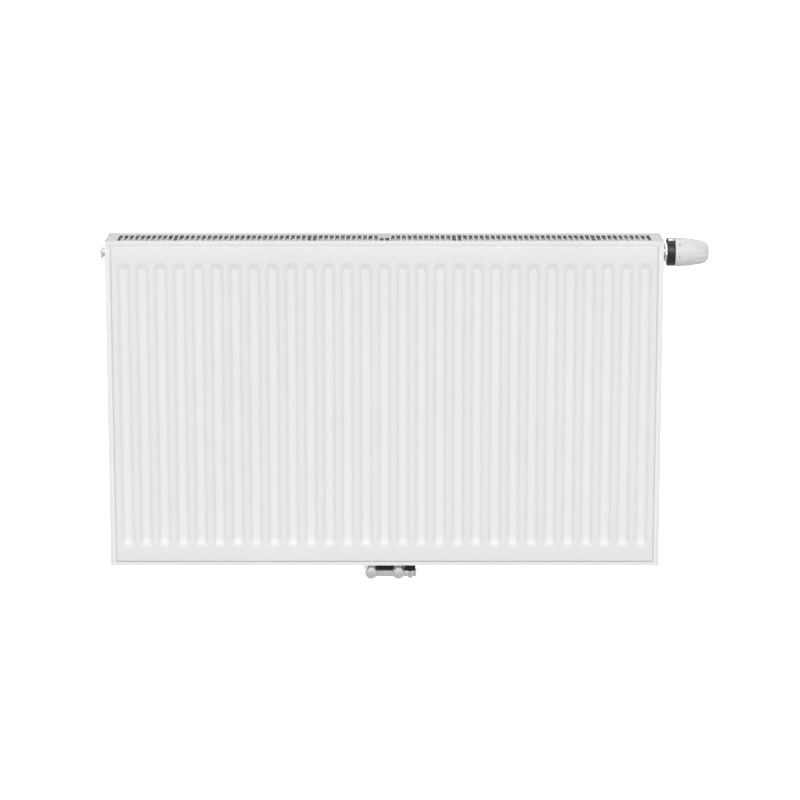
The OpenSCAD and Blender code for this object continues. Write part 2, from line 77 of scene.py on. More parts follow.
class Wire:
    """A shader socket on which arithmetic adds Math nodes."""

    def __init__(self, web: "Web", socket: bpy.types.NodeSocket) -> None:
        """Keeps the socket and the web that it belongs to."""
        self.web = web
        self.socket = socket

    def _math(self, operation: str, *values: "Wire | float") -> "Wire":
        """Adds one Math node.

        Args:
            operation: the node's operation.
            values: what its inputs take, in order.

        Returns:
            The node's result.
        """
        return self.web.add("ShaderNodeMath", {"operation": operation}, dict(enumerate(values)))

    def __add__(self, other: "Wire | float") -> "Wire":
        """Sum."""
        return self._math("ADD", self, other)

    def __radd__(self, other: float) -> "Wire":
        """Sum with a number on the left."""
        return self._math("ADD", other, self)

    def __sub__(self, other: "Wire | float") -> "Wire":
        """Difference."""
        return self._math("SUBTRACT", self, other)

    def __mul__(self, other: "Wire | float") -> "Wire":
        """Product."""
        return self._math("MULTIPLY", self, other)

    def __rmul__(self, other: float) -> "Wire":
        """Product with a number on the left."""
        return self._math("MULTIPLY", other, self)

    def window(self, low: float, high: float) -> "Wire":
        """A smooth step from 0 at low to 1 at high."""
        settings = {"interpolation_type": "SMOOTHSTEP", "clamp": True}
        return self.web.add("ShaderNodeMapRange", settings, {0: self, 1: low, 2: high, 3: 0.0, 4: 1.0})


class Web:
    """The node tree of one material."""

    def __init__(self, name: str) -> None:
        """Starts a material of this name with a Principled shader."""
        self.material = bpy.data.materials.new(name)
        self.material.use_nodes = True
        self.tree = self.material.node_tree
        self.shader = self.tree.nodes["Principled BSDF"]
        coordinates = self.tree.nodes.new("ShaderNodeTexCoord")
        self.place = Wire(self, coordinates.outputs["Object"])

    def add(
        self,
        kind: str,
        settings: dict[str, object],
        values: dict[int | str, "Wire | float | Sequence[float]"],
        output: int | str = 0,
    ) -> Wire:
        """Adds one node of any kind.

        Args:
            kind: the node's type.
            settings: its properties, which are set first.
            values: what its sockets take, by index or name.
            output: the socket to hand back.

        Returns:
            That output.
        """
        node = self.tree.nodes.new(kind)
        for key, value in settings.items():
            setattr(node, key, value)
        for key, value in values.items():
            self.feed(node.inputs[key], value)
        return Wire(self, node.outputs[output])

    def feed(self, socket: bpy.types.NodeSocket, value: "Wire | float | Sequence[float]") -> None:
        """Links a socket, or sets its value."""
        if isinstance(value, Wire):
            self.tree.links.new(value.socket, socket)
        else:
            socket.default_value = value

    def surface(self, **values: "Wire | float | Sequence[float]") -> bpy.types.Material:
        """Sets the shader's sockets.

        Args:
            values: what each socket takes, with underscores for the spaces in its name.

        Returns:
            The finished material.
        """
        for key, value in values.items():
            self.feed(self.shader.inputs[key.replace("_", " ")], value)
        return self.material

    def stretched(self, scale: Sequence[float]) -> Wire:
        """The object's coordinates, scaled along each axis."""
        return self.add("ShaderNodeMapping", {}, {"Vector": self.place, "Scale": scale})

    def noise(self, scale: float, detail: float = 2.0, where: Wire | None = None) -> Wire:
        """Noise from 0 to 1.

        Args:
            scale: cells per metre.
            detail: number of finer layers.
            where: coordinates, or None for the object's own.

        Returns:
            The noise's value.
        """
        values = {"Vector": where or self.place, "Scale": scale, "Detail": detail}
        return self.add("ShaderNodeTexNoise", {}, values)

    def blend(self, factor: Wire, first: Colour, second: Colour) -> Wire:
        """A colour between two, by factor."""
        values = {0: factor, 6: (*first, 1.0), 7: (*second, 1.0)}
        return self.add("ShaderNodeMix", {"data_type": "RGBA"}, values, 2)

    def bump(self, height: Wire, strength: float, distance: float) -> Wire:
        """A normal bent by a height.

        Args:
            height: the height, from 0 to 1.
            strength: the bump's strength.
            distance: what a height of 1 stands for, in metres.

        Returns:
            The bent normal.
        """
        values = {"Height": height, "Strength": strength, "Distance": distance}
        return self.add("ShaderNodeBump", {}, values)


# ---------------------------------------------------------------- finishes


class Slot(Enum):
    """The record's material slots."""

    PANEL = "enamel_white"
    COVER = "cover_enamel"
    FIN = "convector_coat"
    BADGE = "badge_plastic"
    WHEEL = "wheel_plastic"
    BLACK = "black_plastic"
    NICKEL = "nickel"
    BRASS = "brass"
    STAINLESS = "stainless"
    SPRING = "spring_steel"
    RUBBER = "seal_rubber"


@dataclass(frozen=True)
class Enamel:
    """Baked white coating: a faint orange peel, and a tone that drifts a little."""

    light: Colour
    dark: Colour
    gloss_low: float = 0.44
    gloss_high: float = 0.54
    peel: float = 0.10
    coat: float = 0.10

    def material(self, name: str) -> bpy.types.Material:
        """The node material of this coating."""
        web = Web(name)
        drift = web.noise(7.0, 3.0)
        specks = web.noise(900.0, 1.0).window(0.70, 0.78)
        tone = drift.window(0.3, 0.7) * 0.7 + specks * 0.3
        peel = web.noise(650.0, 2.0) * 0.7 + web.noise(190.0, 1.0) * 0.3
        gloss = self.gloss_low + (self.gloss_high - self.gloss_low) * web.noise(40.0, 4.0)
        return web.surface(
            Base_Color=web.blend(tone, self.light, self.dark),
            Roughness=gloss,
            Normal=web.bump(peel, self.peel, 0.0003),
            Coat_Weight=self.coat,
            Coat_Roughness=0.35,
            IOR=1.5,
            Specular_IOR_Level=0.25,
        )


@dataclass(frozen=True)
class Moulding:
    """Moulded plastic: fine grain from the mould, and slow changes of gloss."""

    light: Colour
    dark: Colour
    gloss: float
    grain: float
    grain_scale: float = 2600.0

    def material(self, name: str) -> bpy.types.Material:
        """The node material of this plastic."""
        web = Web(name)
        flow = web.noise(60.0, 3.0)
        grain = web.noise(self.grain_scale, 3.0)
        wear = web.noise(300.0, 4.0).window(0.55, 0.8)
        return web.surface(
            Base_Color=web.blend(flow.window(0.3, 0.7), self.light, self.dark),
            Roughness=self.gloss + 0.10 * flow + 0.06 * wear,
            Normal=web.bump(grain, self.grain, 0.0001),
            IOR=1.48,
        )


@dataclass(frozen=True)
class Plating:
    """Plated or bare cast metal: fine pits, smudges and short scratches."""

    light: Colour
    dark: Colour
    gloss: float
    pits: float = 0.12

    def material(self, name: str) -> bpy.types.Material:
        """The node material of this metal."""
        web = Web(name)
        smudge = web.noise(110.0, 5.0).window(0.35, 0.75)
        scratch = web.noise(140.0, 2.0, web.stretched((1.0, 9.0, 9.0))).window(0.58, 0.70)
        pits = web.noise(1500.0, 3.0)
        return web.surface(
            Base_Color=web.blend(smudge, self.light, self.dark),
            Metallic=1.0,
            Roughness=self.gloss + 0.12 * smudge + 0.08 * scratch,
            Normal=web.bump(pits - 0.3 * scratch, self.pits, 0.00015),
        )


@dataclass(frozen=True)
class Turning:
    """Metal turned on a lathe: rings along the x axis, with a worn tone."""

    light: Colour
    dark: Colour
    gloss: float

    def material(self, name: str) -> bpy.types.Material:
        """The node material of this metal."""
        web = Web(name)
        rings = web.noise(2400.0, 1.0, web.stretched((1.0, 0.02, 0.02)))
        tarnish = web.noise(160.0, 5.0).window(0.4, 0.75)
        return web.surface(
            Base_Color=web.blend(tarnish, self.light, self.dark),
            Metallic=1.0,
            Roughness=self.gloss + 0.15 * tarnish + 0.06 * rings,
            Normal=web.bump(rings, 0.25, 0.00008),
        )


@dataclass(frozen=True)
class Primer:
    """Dipped satin coat on folded sheet: runs along z and a cloudy tone."""

    light: Colour
    dark: Colour

    def material(self, name: str) -> bpy.types.Material:
        """The node material of this coat."""
        web = Web(name)
        runs = web.noise(60.0, 3.0, web.stretched((4.0, 4.0, 0.4)))
        clouds = web.noise(25.0, 4.0).window(0.3, 0.7)
        return web.surface(
            Base_Color=web.blend(clouds, self.light, self.dark),
            Roughness=0.48 + 0.14 * runs,
            Normal=web.bump(runs, 0.2, 0.0004),
        )


@dataclass(frozen=True)
class Rubber:
    """Black seal rubber with a fine bloom."""

    light: Colour = (0.05, 0.05, 0.052)
    dark: Colour = (0.02, 0.02, 0.021)

    def material(self, name: str) -> bpy.types.Material:
        """The node material of this rubber."""
        web = Web(name)
        bloom = web.noise(500.0, 4.0)
        return web.surface(
            Base_Color=web.blend(bloom.window(0.35, 0.7), self.dark, self.light),
            Roughness=0.62 + 0.18 * bloom,
            Normal=web.bump(web.noise(3000.0, 2.0), 0.3, 0.0001),
        )


FINISHES = {
    Slot.PANEL: Enamel((0.862, 0.862, 0.864), (0.843, 0.843, 0.846)),
    Slot.COVER: Enamel((0.872, 0.872, 0.873), (0.853, 0.853, 0.855), peel=0.08, coat=0.12),
    Slot.FIN: Primer((0.74, 0.745, 0.75), (0.66, 0.665, 0.67)),
    Slot.BADGE: Moulding((0.84, 0.845, 0.85), (0.81, 0.815, 0.82), 0.30, 0.10),
    Slot.WHEEL: Moulding((0.78, 0.78, 0.777), (0.755, 0.755, 0.751), 0.46, 0.12),
    Slot.BLACK: Moulding((0.020, 0.020, 0.021), (0.012, 0.012, 0.013), 0.42, 0.30, 1800.0),
    Slot.NICKEL: Plating((0.88, 0.88, 0.88), (0.80, 0.80, 0.80), 0.34),
    Slot.BRASS: Turning((0.78, 0.60, 0.30), (0.58, 0.42, 0.20), 0.26),
    Slot.STAINLESS: Turning((0.64, 0.64, 0.65), (0.50, 0.50, 0.51), 0.24),
    Slot.SPRING: Plating((0.56, 0.57, 0.58), (0.40, 0.41, 0.42), 0.32, 0.2),
    Slot.RUBBER: Rubber(),
}


@dataclass
class Paint:
    """The finished materials, one for each slot."""

    made: dict[Slot, bpy.types.Material] = field(default_factory=dict)

    def of(self, slot: Slot) -> bpy.types.Material:
        """The slot's material, made when it is first asked for."""
        if slot not in self.made:
            self.made[slot] = FINISHES[slot].material(f"finish_{slot.value}")
        return self.made[slot]


PAINT = Paint()


# ---------------------------------------------------------------- meshes


def smooth_ramp(t: float, blend: float = 0.3) -> float:
    """A ramp from 0 at t = 0 to 1 at t = 1, with both corners rounded.

    Args:
        t: the place along the ramp.
        blend: how far each rounding reaches to either side.

    Returns:
        The height of the ramp.
    """
    if t <= -blend:
        return 0.0
    if t < blend:
        return (t + blend) ** 2 / (4 * blend)
    if t <= 1 - blend:
        return t
    if t < 1 + blend:
        return 1 - (1 + blend - t) ** 2 / (4 * blend)
    return 1.0


def rounded(points: Line, radius: float, steps: int = 4, closed: bool = False) -> list[tuple[float, float]]:
    """An outline whose corners are arcs.

    Args:
        points: the corners.
        radius: the arcs' radius, less where an edge is short.
        steps: segments to an arc.
        closed: whether the last point joins the first.

    Returns:
        The points of the rounded outline.
    """
    corners = [Vector(p) for p in points]
    count = len(corners)
    line: list[tuple[float, float]] = []
    for i, corner in enumerate(corners):
        if not closed and i in (0, count - 1):
            line.append(tuple(corner))
            continue
        back = corners[i - 1] - corner
        ahead = corners[(i + 1) % count] - corner
        half = back.angle(ahead) / 2
        reach = min(radius / math.tan(half), back.length * 0.49, ahead.length * 0.49)
        start = corner + back.normalized() * reach
        end = corner + ahead.normalized() * reach
        for k in range(steps + 1):
            t = k / steps
            line.append(tuple((1 - t) ** 2 * start + 2 * t * (1 - t) * corner + t * t * end))
    return line


class Shape:
    """A mesh in the making."""

    def __init__(self) -> None:
        """Starts with an empty mesh."""
        self.bm = bmesh.new()

    @classmethod
    def block(cls, low: Sequence[float], high: Sequence[float]) -> "Shape":
        """A box between two corners."""
        shape = cls()
        size = [b - a for a, b in zip(low, high)]
        middle = [(a + b) / 2 for a, b in zip(low, high)]
        matrix = Matrix.Translation(middle) @ Matrix.Diagonal((*size, 1.0))
        bmesh.ops.create_cube(shape.bm, size=1.0, matrix=matrix)
        return shape

    @classmethod
    def turned(cls, line: Line, centre: Sequence[float], steps: int = 96, closed: bool = True) -> "Shape":
        """A part turned about the x axis.

        Args:
            line: its outline, as (x, radius) points.
            centre: a point on the axis, whose x is not used.
            steps: segments round the axis.
            closed: whether the outline's last point joins its first.

        Returns:
            The part.
        """
        shape = cls()
        bm = shape.bm
        verts = [bm.verts.new((x, centre[1], centre[2] + r)) for x, r in line]
        pairs = list(zip(verts, verts[1:])) + ([(verts[-1], verts[0])] if closed else [])
        edges = [bm.edges.new(pair) for pair in pairs]
        axis_at = (0.0, centre[1], centre[2])
        bmesh.ops.spin(bm, geom=verts + edges, cent=axis_at, axis=(1, 0, 0), dvec=(0, 0, 0),
                       angle=2 * math.pi, steps=steps, use_merge=True, use_duplicate=False)
        return shape.sealed()

    @classmethod
    def drawn(cls, path: Line, low: float, high: float, rows: int = 1) -> "Shape":
        """An open sheet: a path in x and y, drawn up along z.

        Args:
            path: the path's points.
            low: the height of its lower edge.
            high: the height of its upper edge.
            rows: rows of faces.

        Returns:
            The sheet.
        """
        shape = cls()
        bm = shape.bm
        verts = [bm.verts.new((x, y, low)) for x, y in path]
        edges = [bm.edges.new(pair) for pair in zip(verts, verts[1:])]
        for _ in range(rows):
            made = bmesh.ops.extrude_edge_only(bm, edges=edges)["geom"]
            edges = [e for e in made if isinstance(e, bmesh.types.BMEdge)]
            moved = [v for v in made if isinstance(v, bmesh.types.BMVert)]
            bmesh.ops.translate(bm, verts=moved, vec=(0, 0, (high - low) / rows))
        return shape

    @classmethod
    def prism(cls, outline: Line, low: float, high: float) -> "Shape":
        """A closed block: an outline in x and y, drawn up along z."""
        shape = cls()
        bm = shape.bm
        face = bm.faces.new([bm.verts.new((x, y, low)) for x, y in outline])
        made = bmesh.ops.extrude_face_region(bm, geom=[face], use_keep_orig=True)["geom"]
        moved = [v for v in made if isinstance(v, bmesh.types.BMVert)]
        bmesh.ops.translate(bm, verts=moved, vec=(0, 0, high - low))
        return shape.sealed()

    @classmethod
    def copied(cls, node: str) -> "Shape":
        """A merged copy of a CAD node, with its flat faces made whole."""
        shape = cls()
        bm = shape.bm
        bm.from_mesh(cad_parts[node].data)
        bmesh.ops.remove_doubles(bm, verts=bm.verts, dist=1e-6)
        bmesh.ops.dissolve_limit(bm, angle_limit=math.radians(0.5), verts=bm.verts, edges=bm.edges)
        return shape

    def sealed(self) -> "Shape":
        """Merges doubles and turns the faces outwards."""
        bmesh.ops.remove_doubles(self.bm, verts=self.bm.verts, dist=1e-7)
        bmesh.ops.recalc_face_normals(self.bm, faces=self.bm.faces)
        return self

    def looking_away(self, point: Sequence[float]) -> "Shape":
        """Makes an open sheet's faces agree, and look away from a point."""
        bmesh.ops.recalc_face_normals(self.bm, faces=self.bm.faces)
        faces = self.bm.faces
        outward = sum(f.normal.dot(f.calc_center_median() - Vector(point)) * f.calc_area() for f in faces)
        if outward < 0:
            bmesh.ops.reverse_faces(self.bm, faces=faces)
        return self

    def drawn_edge(self, edges: list[bmesh.types.BMEdge], to: Callable[[Vector], Vector]
                   ) -> list[bmesh.types.BMEdge]:
        """Extrudes edges and moves the new points by a rule.

        Args:
            edges: the edges to extrude.
            to: the place of each new point, from the place of the old one.

        Returns:
            The new edges.
        """
        made = bmesh.ops.extrude_edge_only(self.bm, edges=edges)["geom"]
        for item in made:
            if isinstance(item, bmesh.types.BMVert):
                item.co = to(item.co)
        return [item for item in made if isinstance(item, bmesh.types.BMEdge)
                and all(v in made for v in item.verts)]

    def softened(self, width: float, segments: int = 2, angle: float = 35.0) -> "Shape":
        """Rounds the edges that are sharper than an angle.

        Args:
            width: the rounding's width.
            segments: faces across it.
            angle: the least angle, in degrees.

        Returns:
            This shape.
        """
        limit = math.radians(angle)
        sharp = [e for e in self.bm.edges if e.is_manifold and e.calc_face_angle() > limit]
        bmesh.ops.bevel(self.bm, geom=sharp, offset=width, offset_type="OFFSET", segments=segments,
                        profile=0.5, affect="EDGES", material=-1, clamp_overlap=True)
        return self

    def spun(self, angle: float, axis: str, centre: Sequence[float]) -> "Shape":
        """Turns the shape.

        Args:
            angle: the turn, in degrees.
            axis: X, Y or Z.
            centre: a point on the axis.

        Returns:
            This shape.
        """
        matrix = Matrix.Rotation(math.radians(angle), 3, axis)
        bmesh.ops.rotate(self.bm, verts=self.bm.verts, cent=centre, matrix=matrix)
        return self

    def bent(self, rule: Callable[[Vector], Vector]) -> "Shape":
        """Moves each point by a rule."""
        for vert in self.bm.verts:
            vert.co = rule(vert.co)
        return self

    def joined(self, others: Iterable["Shape"]) -> "Shape":
        """Takes in other shapes, as separate solids."""
        for other in others:
            mesh = bpy.data.meshes.new("joined")
            other.bm.to_mesh(mesh)
            self.bm.from_mesh(mesh)
            bpy.data.meshes.remove(mesh)
        return self

    def cut(self, cutter: "Shape") -> "Shape":
        """Takes a closed shape out of this one."""
        whole = self._object("whole")
        knife = cutter._object("knife")
        modifier = whole.modifiers.new("cut", "BOOLEAN")
        modifier.object = knife
        modifier.operation = "DIFFERENCE"
        modifier.solver = "EXACT"
        graph = bpy.context.evaluated_depsgraph_get()
        self.bm = bmesh.new()
        self.bm.from_mesh(whole.evaluated_get(graph).to_mesh())
        for leftover in (whole, knife):
            bpy.data.objects.remove(leftover)
        return self

    def thickened(self, amount: float) -> "Shape":
        """Gives an open sheet its thickness, on the side away from its normals."""
        whole = self._object("sheet")
        modifier = whole.modifiers.new("wall", "SOLIDIFY")
        modifier.thickness = amount
        modifier.offset = -1.0
        modifier.use_even_offset = True
        graph = bpy.context.evaluated_depsgraph_get()
        self.bm = bmesh.new()
        self.bm.from_mesh(whole.evaluated_get(graph).to_mesh())
        bpy.data.objects.remove(whole)
        return self

    def _object(self, name: str) -> bpy.types.Object:
        """The shape as a linked object, for a modifier to work on."""
        mesh = bpy.data.meshes.new(name)
        self.bm.to_mesh(mesh)
        whole = bpy.data.objects.new(name, mesh)
        bpy.context.scene.collection.objects.link(whole)
        return whole

    def piece(self, name: str, body: str, slot: Slot, replaces: Sequence[str] = (),
              angle: float = 40.0) -> bpy.types.Object:
        """Makes the shape a finished piece.

        Args:
            name: the piece's name.
            body: the body it rides on.
            slot: the material slot it takes its finish from.
            replaces: the CAD nodes it stands for.
            angle: the angle above which an edge stays sharp, in degrees.

        Returns:
            The piece.
        """
        mesh = bpy.data.meshes.new(name)
        self.bm.to_mesh(mesh)
        self.bm.free()
        mesh.polygons.foreach_set("use_smooth", [True] * len(mesh.polygons))
        mesh.set_sharp_from_angle(angle=math.radians(angle))
        mesh.materials.append(PAINT.of(slot))
        whole = bpy.data.objects.new(name, mesh)
        bpy.context.scene.collection.objects.link(whole)
        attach(whole, body)
        if replaces:
            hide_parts(*replaces)
        LOG.info("%s: %d faces on %s", name, len(mesh.polygons), body)
        return whole


# ---------------------------------------------------------------- panels


class Facing(Enum):
    """Which way a panel's visible sheet looks, as the sign of y."""

    FRONT = -1
    WALL = 1


# Where mesh lines cross a rounded ramp, as shares of its width.
RAMP_LINES = (-0.3, -0.1, 0.1, 0.3, 0.7, 0.9, 1.1, 1.3)


@dataclass
class PressedSheet:
    """The visible sheet of a panel, with its upright grooves and flat flange."""

    node: str
    facing: Facing
    grooves: int = 29
    sheet: float = 1.25 * MM
    flange: float = 10 * MM
    field_slope: float = 3 * MM
    floor: float = 6 * MM
    side_slope: float = 6 * MM
    end_slope: float = 12 * MM
    header: float = 38.5 * MM
    end_margin: float = 2 * MM
    top_trim: float = 1.3 * MM
    rim_insets: tuple[float, ...] = (2 * MM, 0.4 * MM, 0.0)

    def __post_init__(self) -> None:
        """Works out the places that follow from the node's box."""
        self.low, self.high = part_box(self.node)
        self.press = (self.high.y - self.low.y) - self.sheet
        self.pitch = (self.high.x - self.low.x + 2 * self.end_margin) / (self.grooves + 1)
        self.middle = (self.low.z + self.high.z + self.top_trim) / 2
        self.half_high = self.middle - self.low.z
        self.face = self.low.y if self.facing is Facing.FRONT else self.high.y

    def columns(self) -> list[float]:
        """The x of each upright mesh line."""
        half = [self.floor + t * self.side_slope for t in RAMP_LINES]
        offsets = sorted([-d for d in half] + [0.0] + half)
        first = -(self.grooves - 1) / 2
        lines = [(first + k) * self.pitch + d for k in range(self.grooves) for d in offsets]
        edge = self.high.x
        border = [edge - self.flange + t * self.field_slope for t in RAMP_LINES]
        border += [edge - inset for inset in self.rim_insets]
        return sorted(lines + border + [-x for x in border])

    def rows(self) -> list[float]:
        """The height of each level mesh line, from the sheet's middle."""
        end = self.half_high - self.header - self.end_slope
        lines = [end + t * self.end_slope for t in (*RAMP_LINES, 0.5)]
        edge = self.high.z - self.middle
        rim = self.half_high - self.flange + self.field_slope
        lines += [rim - t * self.field_slope for t in RAMP_LINES]
        lines += [self.half_high * k / 4 for k in (1, 2)]
        return sorted([z for z in lines if z < edge] + [-z for z in lines] + [0.0, edge, -self.half_high])

    def depth(self, x: float, z: float) -> float:
        """How far the surface lies behind the raised face.

        Args:
            x: distance from the sheet's middle.
            z: height from the sheet's middle.

        Returns:
            The depth.
        """
        offset = abs((x / self.pitch + 0.5) % 1.0 - 0.5) * self.pitch
        if abs(x) > (self.grooves / 2) * self.pitch:
            offset = self.pitch / 2
        side = smooth_ramp((offset - self.floor) / self.side_slope)
        end = self.half_high - self.header - self.end_slope
        ends = smooth_ramp((abs(z) - end) / self.end_slope)
        groove = (1 - side) * (1 - ends)
        rim_x = self.high.x - self.flange + self.field_slope
        rim_z = self.half_high - self.flange + self.field_slope
        raised = smooth_ramp((rim_x - abs(x)) / self.field_slope)
        raised *= smooth_ramp((rim_z - abs(z)) / self.field_slope)
        return self.press * (1 - raised * (1 - groove))

    def build(self) -> None:
        """Builds the sheet from a grid and gives it its finish."""
        columns, rows = self.columns(), self.rows()
        shape = Shape()
        bmesh.ops.create_grid(shape.bm, x_segments=len(columns) - 1, y_segments=len(rows) - 1, size=0.5)
        last_x, last_z = len(columns) - 1, len(rows) - 1

        def placed(co: Vector) -> Vector:
            """The place on the sheet of a point of the unit grid."""
            x = columns[round((co.x + 0.5) * last_x)]
            z = rows[round((co.y + 0.5) * last_z)]
            y = self.face - self.facing.value * self.depth(x, z)
            return Vector((x, y, self.middle + z))

        shape.bent(placed)
        if self.facing is Facing.WALL:
            bmesh.ops.reverse_faces(shape.bm, faces=shape.bm.faces)
        shape.thickened(self.sheet)
        shape.piece(f"{self.node}_skin", "radiator", Slot.PANEL, [self.node])


# The sheets that are seen only through the grille and from below.
HIDDEN_SHEETS = (
    ("front_inner_sheet", Slot.PANEL),
    ("rear_inner_sheet", Slot.PANEL),
    ("front_convector", Slot.FIN),
    ("rear_convector", Slot.FIN),
)


def dress_nodes(nodes: Iterable[tuple[str, Slot]]) -> None:
    """Gives CAD nodes their finishes.

    Args:
        nodes: the nodes' names with their slots.
    """
    for name, slot in nodes:
        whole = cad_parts[name]
        whole.data.materials.clear()
        whole.data.materials.append(PAINT.of(slot))
        LOG.info("%s: CAD node in %s", name, slot.value)


def soften_nodes(nodes: Iterable[tuple[str, str, Slot, float]]) -> None:
    """Replaces CAD nodes by copies with rounded edges.

    Args:
        nodes: name, body, slot and edge width of each.
    """
    for name, body, slot, width in nodes:
        Shape.copied(name).softened(width).piece(f"{name}_soft", body, slot, [name])


# ---------------------------------------------------------------- covers


@dataclass
class SideCover:
    """A folded end cover with a round hole at the top."""

    node: str
    hole_at: str
    hole: float
    sheet: float = 1.0 * MM
    bend: float = 1.8 * MM
    edge: float = 0.25 * MM
    seat: float = 1.3 * MM
    inside: float = 50 * MM
    hole_depth: float = 3 * MM

    def build(self) -> None:
        """Builds the cover from its folded section, trims its lips and cuts its hole."""
        low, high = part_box(self.node)
        side = 1 if high.x > 0 else -1
        outer, lip = (high.x, low.x) if side > 0 else (low.x, high.x)
        path = rounded([(lip, low.y), (outer, low.y), (outer, high.y), (lip, high.y)], self.bend, 5)
        middle = (low + high) / 2
        shape = Shape.drawn(path, low.z, high.z)
        shape.looking_away((lip - side * self.inside, middle.y, middle.z)).thickened(self.sheet)
        near, far = sorted((lip - side * MM, outer - side * self.sheet))
        rebate = Shape.block((near, low.y - MM, high.z - self.seat), (far, high.y + MM, high.z + MM))
        shape.cut(rebate)
        centre = sum(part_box(self.hole_at), Vector()) / 2
        reach = sorted((outer - side * self.hole_depth, outer + side * MM))
        rod = [(reach[0], 0.0), (reach[0], self.hole), (reach[1], self.hole), (reach[1], 0.0)]
        shape.cut(Shape.turned(rod, centre, 64, closed=False))
        shape.softened(self.edge).piece(f"{self.node}_shell", "radiator", Slot.COVER, [self.node])


@dataclass
class TopGrille:
    """The slotted top cover, with a lip folded down at the front and at the back."""

    node: str = "top_grille"
    pitch: float = 10 * MM
    slot: float = 7 * MM
    slot_length: float = 62 * MM
    slot_start: float = 10 * MM
    count: int = 96
    margin: float = 2 * MM
    sheet: float = 1.0 * MM
    bend: float = 1.6 * MM
    lip_gap: float = 4.5 * MM
    edge: float = 0.3 * MM

    def cell(self, shape: Shape, x: float, low: float, high: float, top: float) -> None:
        """Adds one slot with the plate round it.

        Args:
            shape: the grille in the making.
            x: the slot's middle.
            low: the plate's front edge here.
            high: the plate's back edge here.
            top: the plate's height.
        """
        bm = shape.bm
        corners = [(-0.5, low), (0.5, low), (0.5, high), (-0.5, high)]
        verts = [bm.verts.new((x + k * self.pitch, y, top)) for k, y in corners]
        border = [bm.edges.new((a, b)) for a, b in zip(verts, verts[1:] + verts[:1])]
        radius = self.slot / 2
        turn = Matrix.Rotation(math.pi / 16, 4, "Z")
        ring = bmesh.ops.create_circle(bm, segments=16, radius=radius, matrix=turn)["verts"]
        centre = (low + high) / 2
        for vert in ring:
            shift = math.copysign(self.slot_length / 2 - radius, vert.co.y)
            vert.co += Vector((x, centre + shift, top))
        rim = list({e for v in ring for e in v.link_edges})
        bmesh.ops.bridge_loops(bm, edges=border + rim)

    def build(self) -> None:
        """Builds the plate from its cells, folds its lips and gives it its thickness."""
        low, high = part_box(self.node)
        shape = Shape()
        start = low.y + self.slot_start
        front, back = start - self.margin, start + self.slot_length + self.margin
        for k in range(self.count):
            self.cell(shape, (k - (self.count - 1) / 2) * self.pitch, front, back, high.z)
        bmesh.ops.remove_doubles(shape.bm, verts=shape.bm.verts, dist=1e-6)
        lip_x = high.x - self.lip_gap
        for side in (-1, 1):
            end = side * self.count / 2 * self.pitch
            edges = [e for e in shape.bm.edges if all(abs(v.co.x - end) < 1e-6 for v in e.verts)]
            for x in (lip_x, high.x):
                edges = shape.drawn_edge(edges, lambda co, to=side * x: Vector((to, co.y, co.z)))
        for at, outer in ((front, low.y), (back, high.y)):
            self.fold(shape, at, outer, lip_x, low.z, high.z)
        far_below = Vector((0, (low.y + high.y) / 2, low.z - 0.3))
        shape.looking_away(far_below).thickened(self.sheet)
        shape.softened(self.edge).piece("top_grille_plate", "grille", Slot.COVER, [self.node])

    def fold(self, shape: Shape, at: float, outer: float, lip_x: float, low: float, high: float) -> None:
        """Draws the plate out to its edge and folds the lip down.

        Args:
            shape: the grille in the making.
            at: the y of the edge drawn out.
            outer: the y of the lip's outer face.
            lip_x: half the lip's length.
            low: the lip's lower edge.
            high: the plate's height.
        """
        rim = [e for e in shape.bm.edges if all(abs(v.co.y - at) < 1e-6 for v in e.verts)]
        ends = [e for e in rim if any(abs(v.co.x) > lip_x + 1e-6 for v in e.verts)]
        edges = [e for e in rim if e not in ends]
        shape.drawn_edge(ends, lambda co: Vector((co.x, outer, co.z)))
        corner = [(at, high), (outer, high), (outer, low)]
        for y, z in rounded(corner, self.bend, 5)[1:]:
            edges = shape.drawn_edge(edges, lambda co, y=y, z=z: Vector((co.x, y, z)))


@dataclass
class Badge:
    """The blank clip in the middle of the grille."""

    node: str = "grille_badge"
    height: float = 1.4 * MM
    corner: float = 3.0 * MM
    rim: float = 1.6 * MM
    sink: float = 0.35 * MM
    edge: float = 0.3 * MM
    prong_at: float = 5 * MM
    prong_half: float = 2.5 * MM
    prong_front: float = 8 * MM
    prong_back: float = 10 * MM
    prong_edge: float = 0.5 * MM

    def build(self) -> None:
        """Builds the plate with a sunk middle, and the two prongs below it."""
        low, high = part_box(self.node)
        base = high.z - self.height
        outline = rounded([(low.x, low.y), (high.x, low.y), (high.x, high.y), (low.x, high.y)],
                          self.corner, 6, closed=True)
        shape = Shape.prism(outline, base, high.z)
        top = [f for f in shape.bm.faces if f.normal.z > 0.9]
        bmesh.ops.inset_region(shape.bm, faces=top, thickness=self.rim, depth=0.0)
        sunk = list({v for f in top for v in f.verts})
        bmesh.ops.translate(shape.bm, verts=sunk, vec=(0, 0, -self.sink))
        shape.softened(self.edge, 3, 30)
        prongs = [Shape.block((x - self.prong_half, low.y + self.prong_front, low.z),
                              (x + self.prong_half, high.y - self.prong_back, base))
                  .softened(self.prong_edge) for x in (-self.prong_at, self.prong_at)]
        shape.joined(prongs).piece("grille_badge_clip", "grille", Slot.BADGE, [self.node])


# ---------------------------------------------------------------- thermostat head


